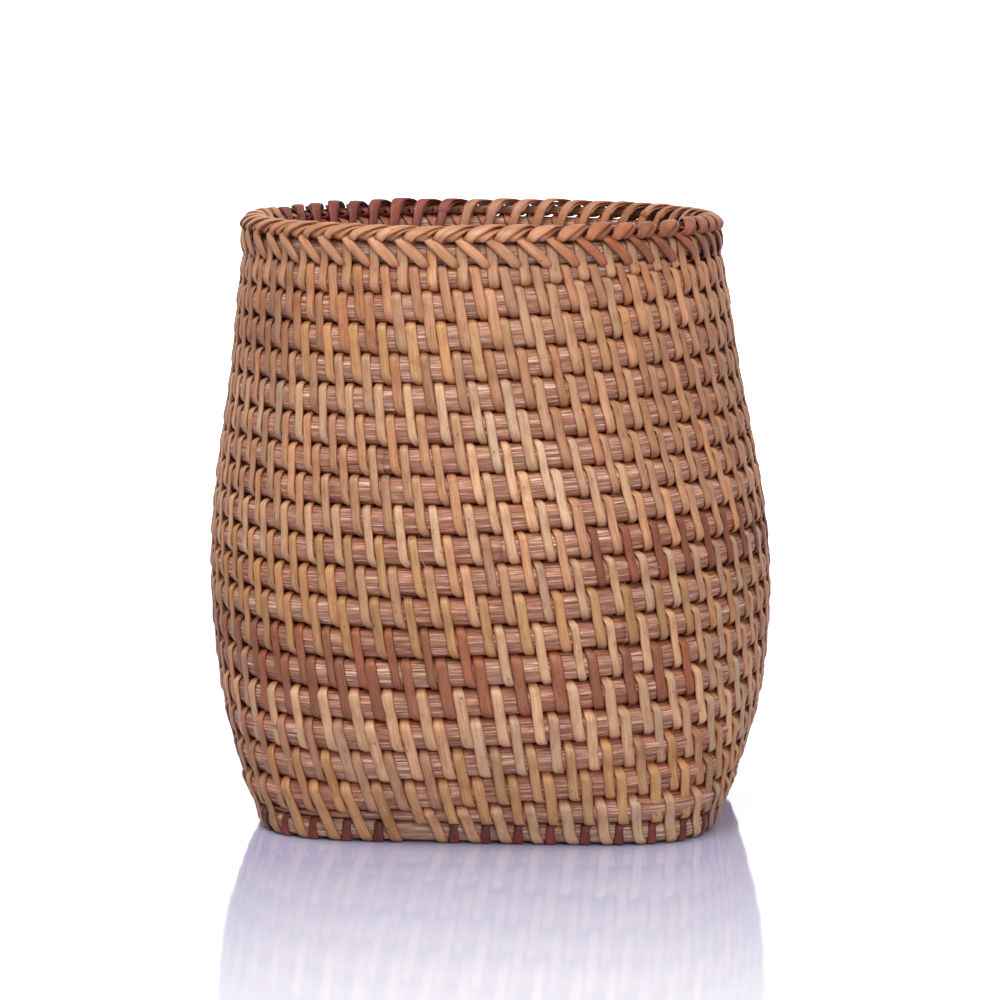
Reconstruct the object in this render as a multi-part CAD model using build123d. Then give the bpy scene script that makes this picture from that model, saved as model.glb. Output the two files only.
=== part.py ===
from build123d import *

import math
import os

# Coiled rattan wastebasket: a round rattan core wound upwards in rows, bound by
# flat peel stitches that each wrap two neighbouring rows, on a flat coiled base
# and under a plaited rim.
#
# Frame: +Z up, the floor at Z = 0, the Z axis through the middle of the belly.
# A place around the basket is an angle from the front (-Y), growing towards +X.

# Overall form, in millimetres
HEIGHT = 197.3
# Height and outer half-width of the wall, binding included
WALL_OUTLINE = [
    (0, 73.8),
    (12, 81.3),
    (24, 85.8),
    (41, 90.9),
    (74, 94.1),
    (101, 92.7),
    (127, 88.7),
    (147, 85.2),
    (174, 81.8),
    (188, 79.2),
    (200, 76.0),
]
LEAN_PER_MM = 0.0267  # the basket leans to -X as it rises
LEAN_ZERO_HEIGHT = 75.0
CORNER_POWER = 4.0  # how square the foot is, above the 2 of a circle
CORNER_FADE = 20.0  # height over which the square foot becomes round
CORNER_TURN = math.radians(4.6)

# Rattan core
WALL_CORE_RADIUS = 4.25
FOOT_CORE_RADIUS = 3.0
RIM_CORE_RADIUS = 3.5
TIP_RADIUS = 0.9
ROW_GAP = 0.9  # room for one peel strand between two rows

# Peel binding
PEEL_WIDTH = 2.4
PEEL_THICKNESS = 0.8
PEEL_CLEARANCE = 0.05
PEEL_LEAN = 1.55  # how far a stitch runs sideways between two rows
FOOT_PEEL_WIDTH = 2.4
FOOT_PEEL_SHARE = 0.48  # where a foot stitch stands between two wall stitches
STITCHES_PER_TURN = 51.5  # a half over, so that each row falls between the last
SPACING_EASE = 0.15  # how fast an uneven spacing is evened out, row by row

# Coil levels
FOOT_HEIGHT = PEEL_THICKNESS + PEEL_CLEARANCE + FOOT_CORE_RADIUS
WALL_START_LEVEL = 8.15
RIM_LEVEL = 184.9
TURNS = 18
PITCH = (RIM_LEVEL - WALL_START_LEVEL) / TURNS
RIM_HEIGHT = RIM_LEVEL + ROW_GAP / 2 + RIM_CORE_RADIUS
RAMP_AT_FOOT = math.radians(-8)
RAMP_AT_RIM = math.radians(21)
LOWER_SWELL = 1.6  # lower rows are a little thicker than the upper ones
LOWER_SWELL_TOP = 130.0
COIL_START = math.radians(-22)
COIL_FULL = math.radians(75)
COIL_TAPER = TURNS * math.tau + math.radians(-70)
COIL_END = TURNS * math.tau + math.radians(52)
COIL_LENGTHS = 6
JOINT_GAP = 0.5
POINTS_PER_TURN = 48

# Base coil
BASE_PITCH = 7.0
BASE_TURNS = 8
BASE_DOME = 1.5
BASE_ROUND_POWER = 1.5
BASE_POINTS_PER_TURN = 30
BASE_BOUND_TURNS = 7
BASE_STITCH_EVERY = 3  # one base stitch to this many foot stitches

# Plaited rim
PLAIT_WIDTH = 3.3
PLAIT_LENGTH = 9.0
PLAIT_THICKNESS = 1.7
PLAIT_ANGLE = 38.0
LEG_SWEEP = 75.0

# Fineness of the curves
SMALL_ANGLE = 0.01
SAMPLES_PER_POINT = 12
TAPER_SECTIONS = 7


def wall_half_width(height):
    """The outer half-width of the wall, on a smooth curve through its outline."""
    rows = WALL_OUTLINE
    height = min(max(height, rows[0][0]), rows[-1][0])
    k = max(i for i in range(len(rows) - 1) if rows[i][0] <= height)
    (z0, r0), (z1, r1) = rows[k], rows[k + 1]
    before, after = rows[max(k - 1, 0)], rows[min(k + 2, len(rows) - 1)]
    slope0 = (r1 - before[1]) / (z1 - before[0])
    slope1 = (after[1] - r0) / (after[0] - z0)
    span = z1 - z0
    t = (height - z0) / span
    return (
        r0 * (1 + 2 * t) * (1 - t) ** 2
        + r1 * t * t * (3 - 2 * t)
        + slope0 * span * t * (1 - t) ** 2
        - slope1 * span * t * t * (1 - t)
    )


def corner_power(height):
    """The power of the rounded square that the basket's section follows."""
    return 2 + CORNER_POWER * math.exp(-height / CORNER_FADE)


def rounded_square(angle, half_width, power):
    """How far the rounded square reaches from its middle at an angle."""
    q = angle + CORNER_TURN
    spread = abs(math.sin(q)) ** power + abs(math.cos(q)) ** power
    return half_width / spread ** (1 / power)


def place(angle, reach, height):
    """The point at an angle from the front, a reach from the leaning axis."""
    lean = LEAN_PER_MM * (LEAN_ZERO_HEIGHT - height)
    return Vector(lean + reach * math.sin(angle), -reach * math.cos(angle), height)


def coil_level(turn_angle):
    """The top of the wall coil at an angle counted on through its turns."""
    done = min(max(turn_angle / (TURNS * math.tau), 0), 1)
    middle = math.sin(math.pi * done)
    ramp = RAMP_AT_FOOT + (RAMP_AT_RIM - RAMP_AT_FOOT) * done
    u = turn_angle - ramp
    rise = u + (1.6 - 0.4 * middle) * math.sin(u)
    rise += (0.55 - 0.3 * middle) * math.sin(2 * u)
    rise += (0.15 - 0.1 * middle) * math.sin(3 * u)
    level = WALL_START_LEVEL + PITCH * (rise / math.tau + 0.5)
    if 0 < level < LOWER_SWELL_TOP:
        level += LOWER_SWELL * math.sin(math.pi * level / LOWER_SWELL_TOP)
    return min(max(level, WALL_START_LEVEL), RIM_LEVEL)


def ring_centre(angle, height, radius):
    """The centre of a level core of the wall, just inside the binding."""
    half_width = wall_half_width(height) - PEEL_THICKNESS - PEEL_CLEARANCE - radius
    reach = rounded_square(angle, half_width, corner_power(height))
    return place(angle, reach, height)


def wall_core(turn_angle):
    """Centre and radius of the core that a stitch meets at an angle of the coil."""
    if turn_angle < COIL_START:
        return ring_centre(turn_angle, FOOT_HEIGHT, FOOT_CORE_RADIUS), FOOT_CORE_RADIUS
    if turn_angle > COIL_END:
        return ring_centre(turn_angle, RIM_HEIGHT, RIM_CORE_RADIUS), RIM_CORE_RADIUS
    top = coil_level(turn_angle)
    bottom = coil_level(turn_angle - math.tau)
    radius = min(WALL_CORE_RADIUS, max((top - bottom - ROW_GAP) / 2, TIP_RADIUS))
    return ring_centre(turn_angle, (top + bottom) / 2, radius), radius


def base_core(turn_angle):
    """Centre of the base coil, wound inwards from the foot ring."""
    half_width = (
        wall_half_width(FOOT_HEIGHT)
        - PEEL_THICKNESS
        - PEEL_CLEARANCE
        - FOOT_CORE_RADIUS
        - BASE_PITCH * (1 + turn_angle / math.tau)
    )
    outer = wall_half_width(0)
    share = max(half_width / outer, 0)
    power = 2 + (corner_power(FOOT_HEIGHT) - 2) * share**BASE_ROUND_POWER
    rise = BASE_DOME * max(turn_angle / math.tau - 1, 0) / BASE_TURNS
    reach = rounded_square(turn_angle, half_width, power)
    return place(turn_angle, reach, FOOT_HEIGHT) + Vector(0, 0, rise)


def even_points(path, start, end, count):
    """Points an even distance apart along a path of angles."""
    samples = count * SAMPLES_PER_POINT
    angles = [start + (end - start) * i / samples for i in range(samples + 1)]
    spots = [path(a) for a in angles]
    travelled = [0.0]
    for a, b in zip(spots, spots[1:]):
        travelled.append(travelled[-1] + (b - a).length)
    points = []
    k = 0
    for i in range(count + 1):
        goal = travelled[-1] * i / count
        while k < len(travelled) - 2 and travelled[k + 1] < goal:
            k += 1
        t = (goal - travelled[k]) / (travelled[k + 1] - travelled[k])
        points.append(spots[k] + (spots[k + 1] - spots[k]) * t)
    return points


def pushed_out(points, closed):
    """The same points moved outwards, so that runs between them follow the curve."""
    moved = []
    last = len(points) - 1
    for i, point in enumerate(points):
        if not closed and i in (0, last):
            moved.append(point)
            continue
        before, after = points[i - 1], points[(i + 1) % len(points)]
        moved.append(point + (point - (before + after) / 2) / 2)
    return moved


def rod(points, radius, closed=False):
    """A round rod along straight runs joined by tangent arcs."""
    points = pushed_out(points, closed)
    count = len(points)
    corners = range(count) if closed else range(1, count - 1)
    radii = []
    for i in corners:
        back = points[i] - points[i - 1]
        ahead = points[(i + 1) % count] - points[i]
        turn = math.radians(back.get_angle(ahead))
        radii.append(0.45 * min(back.length, ahead.length) / math.tan(turn / 2))
    path = FilletPolyline(*points, radius=radii, close=closed)
    start = path @ 0
    section = Plane(origin=start, z_dir=path % 0) * Circle(radius)
    return sweep(section, path=path)


def loop_face(distance, near_radius, far_radius):
    """The outline drawn tight around two circles a distance apart along X."""
    turn = math.acos((near_radius - far_radius) / distance)
    c, s = math.cos(turn), math.sin(turn)
    near_up, near_down = (near_radius * c, near_radius * s), (near_radius * c, -near_radius * s)
    far_up = (distance + far_radius * c, far_radius * s)
    far_down = (distance + far_radius * c, -far_radius * s)
    edges = [
        Line(near_up, far_up),
        ThreePointArc(far_up, (distance + far_radius, 0), far_down),
        Line(far_down, near_down),
        ThreePointArc(near_down, (-near_radius, 0), near_up),
    ]
    return make_face(edges)


def stitch(near, near_radius, far, far_radius, along, width):
    """A closed peel loop around two cores; along is the direction of the cores."""
    across = far - near
    distance = across.length
    across = across.normalized()
    normal = (along - across * along.dot(across)).normalized()
    inner = PEEL_CLEARANCE
    outer = PEEL_CLEARANCE + PEEL_THICKNESS
    ring = loop_face(distance, near_radius + outer, far_radius + outer) - loop_face(
        distance, near_radius + inner, far_radius + inner
    )
    plane = Plane(origin=near - normal * width / 2, x_dir=across, z_dir=normal)
    return extrude(plane * ring, amount=width)


def arc_speed(angle, height):
    """How far a point moves around the wall core at a height, per radian."""
    behind = ring_centre(angle - SMALL_ANGLE, height, WALL_CORE_RADIUS)
    ahead = ring_centre(angle + SMALL_ANGLE, height, WALL_CORE_RADIUS)
    return (ahead - behind).length / (2 * SMALL_ANGLE)


def even_spacing(height):
    """The distance between stitches that are spread evenly at a height."""
    spots = [math.tau * i / POINTS_PER_TURN for i in range(POINTS_PER_TURN)]
    around = sum(arc_speed(a, height) for a in spots) * math.tau / POINTS_PER_TURN
    return around / STITCHES_PER_TURN


def stitch_angles():
    """Where the wall stitches pass over their upper row, counted on through the turns.

    The first turn is spaced evenly around the squarish foot. After that each stitch
    goes about midway between two of the row below, a little earlier or later where
    that evens the spacing out.
    """
    angles = []
    angle = COIL_START
    for _ in range(math.ceil(STITCHES_PER_TURN)):
        angle += even_spacing(FOOT_HEIGHT) / arc_speed(angle, FOOT_HEIGHT)
        angles.append(angle)
    count = len(angles)
    share = 0.5
    while angles[-1] < COIL_END + math.tau:
        left, right = angles[-count], angles[1 - count]
        height = wall_core((left + right) / 2 + math.tau)[0].Z
        gap = (right - left) * arc_speed(left, height)
        share += SPACING_EASE * (even_spacing(height) - gap) / gap
        angles.append(left + (right - left) * share + math.tau)
    return angles[:-1]


def wall_stitch(angle):
    """The stitch around the wall core at an angle and the one a turn below it."""
    upper, _ = wall_core(angle)
    shift = PEEL_LEAN / 2 / math.hypot(upper.X, upper.Y)
    upper, upper_radius = wall_core(angle - shift)
    lower, lower_radius = wall_core(angle - math.tau + shift)
    along = wall_core(angle + shift)[0] - upper
    return stitch(lower, lower_radius, upper, upper_radius, along, PEEL_WIDTH)


def foot_stitch(angle):
    """The stitch around the foot ring and the outermost turn of the base."""
    ring = ring_centre(angle, FOOT_HEIGHT, FOOT_CORE_RADIUS)
    along = ring_centre(angle + SMALL_ANGLE, FOOT_HEIGHT, FOOT_CORE_RADIUS) - ring
    beside = base_core(angle % math.tau)
    beside = Vector(beside.X, beside.Y, FOOT_HEIGHT)
    return stitch(ring, FOOT_CORE_RADIUS, beside, FOOT_CORE_RADIUS, along, FOOT_PEEL_WIDTH)


def base_stitch(angle):
    """The stitch around the base coil at an angle and the turn inside it."""
    outer, inner = base_core(angle), base_core(angle + math.tau)
    along = base_core(angle + SMALL_ANGLE) - outer
    return stitch(outer, FOOT_CORE_RADIUS, inner, FOOT_CORE_RADIUS, along, PEEL_WIDTH)


def rim_leg(angle):
    """A short peel leg over the outer side of the rim core."""
    centre = ring_centre(angle, RIM_HEIGHT, RIM_CORE_RADIUS)
    inner = RIM_CORE_RADIUS + PEEL_CLEARANCE
    outer = inner + PEEL_THICKNESS
    sector = CenterArc((0, 0), (inner + outer) / 2, -LEG_SWEEP, 2 * LEG_SWEEP)
    band = trace(sector, line_width=PEEL_THICKNESS)
    out = Vector(math.sin(angle), -math.cos(angle), 0)
    along = Vector(-out.Y, out.X, 0)
    plane = Plane(origin=centre - along * PLAIT_WIDTH / 2, x_dir=out, z_dir=along)
    return extrude(plane * band, amount=PLAIT_WIDTH)


def plait_link(angle, layer):
    """One flat link of the plait on the rim: layer 0 leans one way, 1 the other."""
    lowest = RIM_HEIGHT + RIM_CORE_RADIUS + PEEL_CLEARANCE * 2 + PEEL_THICKNESS
    gap = HEIGHT - lowest - 2 * PLAIT_THICKNESS
    height = lowest + layer * (PLAIT_THICKNESS + gap)
    centre = ring_centre(angle, RIM_HEIGHT, RIM_CORE_RADIUS)
    turn = math.degrees(angle) + (PLAIT_ANGLE if layer else -PLAIT_ANGLE)
    link = SlotOverall(PLAIT_LENGTH, PLAIT_WIDTH)
    link = extrude(link, amount=PLAIT_THICKNESS)
    return Pos(centre.X, centre.Y, height) * Rot(0, 0, turn) * link


def between(low, high, gap):
    """The angles of one coil length, less the gap at a joint."""
    centre, _ = wall_core(low)
    trim = gap / 2 / math.hypot(centre.X, centre.Y)
    return low + trim, high - trim


def tapered_end(full_angle, tip_angle):
    """The shaved end of the wall core, from its full section to the tip."""
    sections = []
    for i in range(TAPER_SECTIONS):
        angle = full_angle + (tip_angle - full_angle) * i / (TAPER_SECTIONS - 1)
        centre, radius = wall_core(angle)
        ahead, _ = wall_core(angle + SMALL_ANGLE)
        behind, _ = wall_core(angle - SMALL_ANGLE)
        plane = Plane(origin=centre, z_dir=(ahead - behind).normalized())
        sections.append(plane * Circle(radius))
    return loft(sections)


def wall_coil_lengths():
    """The wall core in the lengths of rattan that it is joined from."""
    solids = []
    span = (COIL_TAPER - COIL_FULL) / COIL_LENGTHS
    for i in range(COIL_LENGTHS):
        start, end = between(COIL_FULL + span * i, COIL_FULL + span * (i + 1), JOINT_GAP)
        count = round((end - start) / math.tau * POINTS_PER_TURN)
        points = even_points(lambda a: wall_core(a)[0], start, end, count)
        solids.append(rod(points, WALL_CORE_RADIUS))
    return solids


def level_ring(height, radius):
    """A closed level ring of rattan core."""
    points = even_points(lambda a: ring_centre(a, height, radius), 0, math.tau, POINTS_PER_TURN)
    return rod(points[:-1], radius, closed=True)


def write(name, solids):
    """Writes one node, a single piece or a group of separate identical pieces."""
    shape = solids[0] if len(solids) == 1 else Compound(children=solids)
    export_step(shape, f"parts/{name}.step")


def main():
    os.makedirs("parts", exist_ok=True)

    write("foot_ring_core", [level_ring(FOOT_HEIGHT, FOOT_CORE_RADIUS)])
    write("rim_ring_core", [level_ring(RIM_HEIGHT, RIM_CORE_RADIUS)])
    for i, solid in enumerate(wall_coil_lengths()):
        write(f"wall_coil_length_{i + 1}", [solid])
    write("wall_coil_lower_end", [tapered_end(COIL_FULL, COIL_START)])
    write("wall_coil_upper_end", [tapered_end(COIL_TAPER, COIL_END)])

    base_count = BASE_TURNS * BASE_POINTS_PER_TURN
    base_points = even_points(base_core, 0, BASE_TURNS * math.tau, base_count)
    write("base_coil", [rod(base_points, FOOT_CORE_RADIUS)])

    angles = stitch_angles()
    row = 0
    start = COIL_START
    while start < angles[-1]:
        row += 1
        mine = [a for a in angles if start < a <= start + math.tau]
        write(f"row_binding_{row:02d}", [wall_stitch(a) for a in mine])
        start += math.tau

    first_turn = [a for a in angles if a < COIL_START + math.tau]
    foot_spots = []
    for a, b in zip(first_turn, angles[1:]):
        foot_spots.append(a + (b - a) * FOOT_PEEL_SHARE)
    write("foot_binding", [foot_stitch(a) for a in foot_spots])

    # Each turn of the base is stitched a third of a spacing on from the one outside it.
    marks = foot_spots[::BASE_STITCH_EVERY]
    spaces = list(zip(marks, marks[1:] + [marks[0] + math.tau]))
    for turn in range(BASE_BOUND_TURNS):
        share = (1 + 2 * (turn % 3)) / 6
        spots = [a + (b - a) * share + math.tau * turn for a, b in spaces]
        write(f"base_binding_{turn + 1}", [base_stitch(a) for a in spots])

    # The rim's legs stand between the stitches that hold the rim core.
    top_turn = [a for a in angles if a > COIL_END]
    legs = [(a + b) / 2 for a, b in zip(top_turn, top_turn[1:])]
    half_space = (legs[1] - legs[0]) / 2
    write("rim_legs", [rim_leg(a) for a in legs])
    write("rim_plait_lower", [plait_link(a, 0) for a in legs])
    write("rim_plait_upper", [plait_link(a + half_space, 1) for a in legs])


main()
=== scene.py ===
import math

import bpy
import numpy as np
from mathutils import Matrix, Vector


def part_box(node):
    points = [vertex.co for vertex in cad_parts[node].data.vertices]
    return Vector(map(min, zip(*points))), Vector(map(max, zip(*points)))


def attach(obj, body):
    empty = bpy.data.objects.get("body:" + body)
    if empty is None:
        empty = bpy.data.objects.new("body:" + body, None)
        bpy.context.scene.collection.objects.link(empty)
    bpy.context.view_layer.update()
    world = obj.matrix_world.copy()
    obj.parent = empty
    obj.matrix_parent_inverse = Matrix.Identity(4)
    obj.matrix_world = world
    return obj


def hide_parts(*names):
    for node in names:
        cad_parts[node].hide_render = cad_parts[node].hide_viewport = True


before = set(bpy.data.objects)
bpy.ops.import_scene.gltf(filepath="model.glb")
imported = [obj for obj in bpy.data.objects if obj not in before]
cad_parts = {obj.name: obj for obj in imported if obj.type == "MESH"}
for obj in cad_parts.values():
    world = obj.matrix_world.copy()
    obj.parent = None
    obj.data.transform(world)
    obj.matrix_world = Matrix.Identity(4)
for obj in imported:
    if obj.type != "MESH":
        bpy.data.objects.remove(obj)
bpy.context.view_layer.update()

MM = 0.001
TURN = 2 * math.pi
RNG = np.random.default_rng(41)

# ---------------------------------------------------------------- form, in mm
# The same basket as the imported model: its outline, lean and rounded-square foot.
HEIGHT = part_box("rim_plait_upper")[1][2] / MM
WALL_OUTLINE = [
    (0, 73.8), (12, 81.3), (24, 85.8), (41, 90.9), (74, 94.1), (101, 92.7),
    (127, 88.7), (147, 85.2), (174, 81.8), (188, 79.2), (200, 76.0),
]
LEAN_PER_MM = 0.0267
LEAN_ZERO_HEIGHT = 75.0
CORNER_POWER = 4.0
CORNER_FADE = 20.0
CORNER_TURN = math.radians(4.6)

CORE_DEPTH = 4.25  # half-depth of a wall core, through the wall
CORE_FLATNESS = 1.15  # a core is no deeper than this times its half-height
LEAST_RISE = 0.35  # half-height of the wall core at its shaved ends
FOOT_CORE = 3.0
FOOT_RISE = 3.4  # the foot ring is pressed up against the first row
FOOT_HEIGHT = 3.85  # of the base coil's outermost turn
FOOT_MIDDLE = FOOT_HEIGHT + FOOT_RISE - FOOT_CORE
RIM_CORE = 3.5
ROW_GAP = 0.45
PEEL_THICK = 0.85
PEEL_OFFSET = 0.45  # middle of a strand above its core
STITCH_LEAN = 4.1  # from a stitch's top to its bottom, sideways
RIM_LEAN = 1.0  # the last ones, over the rim core, stand nearly upright
BASE_PITCH = 7.0
BASE_TURNS = 8
BASE_END = 8.72  # turns, with the shaved end pushed in to close the middle
BASE_HALF_WIDE = 3.4  # the base canes are pressed against each other
BASE_BOUND_TURNS = 7
BASE_STITCH_EVERY = 3
BASE_DOME = 1.5
WALL_START = 8.15
RIM_LEVEL = 184.9
TURNS = 18
PITCH = (RIM_LEVEL - WALL_START) / TURNS
RIM_HEIGHT = 188.85
RAMP_AT_FOOT = math.radians(-8)
RAMP_AT_RIM = math.radians(21)
LOWER_SWELL = 1.6
LOWER_SWELL_TOP = 130.0
# The coil gathers its rise at the front: for each wave in a turn, its strength at
# the foot and rim, and how much less it is half-way up
RISE_WAVES = [(1.6, 0.4), (0.55, 0.3), (0.15, 0.1)]
COIL_START = math.radians(-22)
COIL_END = TURNS * TURN + math.radians(52)
STITCHES_PER_TURN = 51.5
SPACING_EASE = 0.15
FOOT_PEEL_SHARE = 0.52
TIP_START = math.radians(-52)  # the shaved tips run on, thin, under the binding
TIP_END = TURNS * TURN + math.radians(66)
TIP_INSET = 1.5
TIP_LEAD, TIP_FADE = 0.12, 0.25  # radians before an end, and over which it sets in
SMALL_TURN = 1e-3  # radians, for the direction along a core


def hermite(table, x):
    """A smooth curve through a short outline, at the values x."""
    xs, ys = np.array(table, float).T
    x = np.clip(x, xs[0], xs[-1])
    k = np.clip(np.searchsorted(xs, x, side="right") - 1, 0, len(xs) - 2)
    before, after = np.maximum(k - 1, 0), np.minimum(k + 2, len(xs) - 1)
    span = xs[k + 1] - xs[k]
    m0 = (ys[k + 1] - ys[before]) / (xs[k + 1] - xs[before])
    m1 = (ys[after] - ys[k]) / (xs[after] - xs[k])
    t = (x - xs[k]) / span
    return (
        ys[k] * (1 + 2 * t) * (1 - t) ** 2
        + ys[k + 1] * t * t * (3 - 2 * t)
        + m0 * span * t * (1 - t) ** 2
        - m1 * span * t * t * (1 - t)
    )


def rounded_square(angle, half_width, power):
    """How far out the section reaches at an angle: a circle where power is 2."""
    q = angle + CORNER_TURN
    spread = np.abs(np.sin(q)) ** power + np.abs(np.cos(q)) ** power
    return half_width / spread ** (1 / power)


def place(angle, reach, height):
    """The point at an angle from the front (-Y, growing to +X) and a height."""
    lean = LEAN_PER_MM * (LEAN_ZERO_HEIGHT - height)
    return np.stack([lean + reach * np.sin(angle), -reach * np.cos(angle), height], -1)


def coil_level(turn_angle):
    """The top of the wall coil at an angle counted on through its turns."""
    done = np.clip(turn_angle / (TURNS * TURN), 0, 1)
    middle = np.sin(math.pi * done)
    u = turn_angle - (RAMP_AT_FOOT + (RAMP_AT_RIM - RAMP_AT_FOOT) * done)
    rise = u
    for wave, (strength, loss) in enumerate(RISE_WAVES, 1):
        rise = rise + (strength - loss * middle) * np.sin(wave * u)
    level = WALL_START + PITCH * (rise / TURN + 0.5)
    swell = LOWER_SWELL * np.sin(math.pi * np.clip(level / LOWER_SWELL_TOP, 0, 1))
    return np.clip(level + swell, WALL_START, RIM_LEVEL)


def corner_power(height):
    """The power of the rounded square, which falls to a circle's above the foot."""
    return 2 + CORNER_POWER * np.exp(-height / CORNER_FADE)


def unit(v):
    return v / np.maximum(np.linalg.norm(v, axis=-1, keepdims=True), 1e-12)


def value_noise(x, y, seed, period=None):
    """Smooth noise from -1 to 1 over two coordinates; x may wrap after period."""
    grid = np.random.default_rng(seed).uniform(-1, 1, (64, 64))
    wrap = period or 64
    x0, y0 = np.floor(x).astype(int), np.floor(y).astype(int)
    fx, fy = x - x0, y - y0
    fx, fy = fx * fx * (3 - 2 * fx), fy * fy * (3 - 2 * fy)
    a, b = x0 % wrap, (x0 + 1) % wrap
    c, d = y0 % 64, (y0 + 1) % 64
    low = grid[a % 64, c] * (1 - fx) + grid[b % 64, c] * fx
    high = grid[a % 64, d] * (1 - fx) + grid[b % 64, d] * fx
    return low * (1 - fy) + high * fy


# ------------------------------------------------------------- cores as curves
# Each gives, for an array of angles: centre, outward side, upward side and the
# half-sizes of the core's section along those two.
def wall_core(turn_angle, first=COIL_START, last=COIL_END):
    """The wall's coil, on the foot ring before first and the rim ring after last."""
    turn_angle = np.asarray(turn_angle, float)
    top, bottom = coil_level(turn_angle), coil_level(turn_angle - TURN)
    on_foot = turn_angle < first
    on_rim = turn_angle > last
    height = (top + bottom) / 2
    height = np.where(on_foot, FOOT_MIDDLE, np.where(on_rim, RIM_HEIGHT, height))
    slope = (hermite(WALL_OUTLINE, height + 2) - hermite(WALL_OUTLINE, height - 2)) / 4
    slope = np.where(on_foot | on_rim, 0.0, slope)
    stretch = np.sqrt(1 + slope**2)
    rise = np.maximum((top - bottom) / 2 * stretch - ROW_GAP / 2, LEAST_RISE)
    rise = np.where(on_foot, FOOT_RISE, np.where(on_rim, RIM_CORE, rise))
    depth = np.where(on_rim, RIM_CORE, np.minimum(CORE_DEPTH, rise * CORE_FLATNESS))
    depth = np.where(on_foot, FOOT_CORE, depth)
    half_width = hermite(WALL_OUTLINE, height) - PEEL_THICK - depth * stretch
    past_start = COIL_START + TIP_LEAD - turn_angle
    past_end = turn_angle - COIL_END + TIP_LEAD
    tip = np.clip(np.maximum(past_start, past_end) / TIP_FADE, 0, 1)
    half_width = half_width - np.where(on_foot | on_rim, 0.0, TIP_INSET * tip)
    power = corner_power(height)

    def centre(angle):
        return place(angle, rounded_square(angle, half_width, power), height)

    along = unit(centre(turn_angle + SMALL_TURN) - centre(turn_angle - SMALL_TURN))
    out = np.stack([along[..., 1], -along[..., 0], 0 * height], -1)
    up = unit(out * slope[..., None] + np.array([0, 0, 1.0]))
    side = unit(out - up * (out * up).sum(-1, keepdims=True))
    return centre(turn_angle), side, up, depth, rise


def ring_core(angle, height, size, rise):
    """A closed level ring: the foot's or the rim's."""
    angle = np.asarray(angle, float)
    height = np.full_like(angle, height)
    half_width = hermite(WALL_OUTLINE, height) - PEEL_THICK - size
    power = corner_power(height)

    def centre(a):
        return place(a, rounded_square(a, half_width, power), height)

    along = unit(centre(angle + SMALL_TURN) - centre(angle - SMALL_TURN))
    out = np.stack([along[..., 1], -along[..., 0], 0 * height], -1)
    up = np.zeros_like(out)
    up[..., 2] = 1
    return centre(angle), out, up, np.full_like(angle, size), np.full_like(angle, rise)


def foot_ring(angle):
    return ring_core(angle, FOOT_MIDDLE, FOOT_CORE, FOOT_RISE)


def rim_ring(angle):
    return ring_core(angle, RIM_HEIGHT, RIM_CORE, RIM_CORE)


def base_core(turn_angle):
    """The flat coil of the base, inwards from the foot ring; its side faces down."""
    turn_angle = np.asarray(turn_angle, float)
    turns = turn_angle / TURN
    half_width = hermite(WALL_OUTLINE, np.full_like(turns, FOOT_HEIGHT))
    half_width = half_width - PEEL_THICK - FOOT_CORE - BASE_PITCH * (1 + turns)
    share = np.clip(half_width / WALL_OUTLINE[0][1], 0, 1)
    power = 2 + (corner_power(FOOT_HEIGHT) - 2) * share**1.5
    height = FOOT_HEIGHT + BASE_DOME * np.clip(turns - 1, 0, None) / BASE_TURNS

    def centre(a):
        return place(a, rounded_square(a, half_width, power), height)

    along = unit(centre(turn_angle + SMALL_TURN) - centre(turn_angle - SMALL_TURN))
    inward = np.stack([-along[..., 1], along[..., 0], 0 * height], -1)
    down = np.zeros_like(inward)
    down[..., 2] = -1
    depth = np.full_like(turn_angle, FOOT_CORE)
    return centre(turn_angle), down, inward, depth, np.full_like(turn_angle, BASE_HALF_WIDE)


# ------------------------------------------------------------------ mesh making
def make_mesh(name, points, faces):
    """A smooth-shaded object of quads, from points in mm."""
    mesh = bpy.data.meshes.new(name)
    count = len(points)
    mesh.vertices.add(count)
    mesh.vertices.foreach_set("co", (points * MM).astype(np.float32).ravel())
    faces = np.asarray(faces, np.int32)
    mesh.loops.add(faces.size)
    mesh.loops.foreach_set("vertex_index", faces.ravel())
    mesh.polygons.add(len(faces))
    starts = np.arange(0, faces.size, faces.shape[1], dtype=np.int32)
    mesh.polygons.foreach_set("loop_start", starts)
    mesh.update(calc_edges=True)
    mesh.polygons.foreach_set("use_smooth", np.full(len(faces), True))
    mesh.validate()
    piece = bpy.data.objects.new(name, mesh)
    bpy.context.scene.collection.objects.link(piece)
    return piece


def add_attribute(piece, name, values):
    """A vector or a colour for each point, for the materials to read."""
    values = np.asarray(values, np.float32)
    kind, key = ("FLOAT_VECTOR", "vector") if values.shape[1] == 3 else ("FLOAT_COLOR", "color")
    layer = piece.data.attributes.new(name, kind, "POINT")
    layer.data.foreach_set(key, values.ravel())


def tube_faces(rings, around, closed):
    """Quads of a tube of rings, and for an open tube its two ends."""
    i = np.arange(rings if closed else rings - 1)[:, None]
    j = np.arange(around)[None, :]
    a = i * around + j
    b = i * around + (j + 1) % around
    c = ((i + 1) % rings) * around + (j + 1) % around
    d = ((i + 1) % rings) * around + j
    quads = np.stack([a, b, c, d], -1).reshape(-1, 4)
    if closed:
        return quads
    ends = []
    for ring, flip in ((0, False), (rings - 1, True)):
        base = ring * around
        for j in range(around // 2 - 1):
            q = [base + j, base + j + 1, base + around - 2 - j, base + around - 1 - j]
            ends.append(q if flip else q[::-1])
    return np.concatenate([quads, np.array(ends)])


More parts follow.
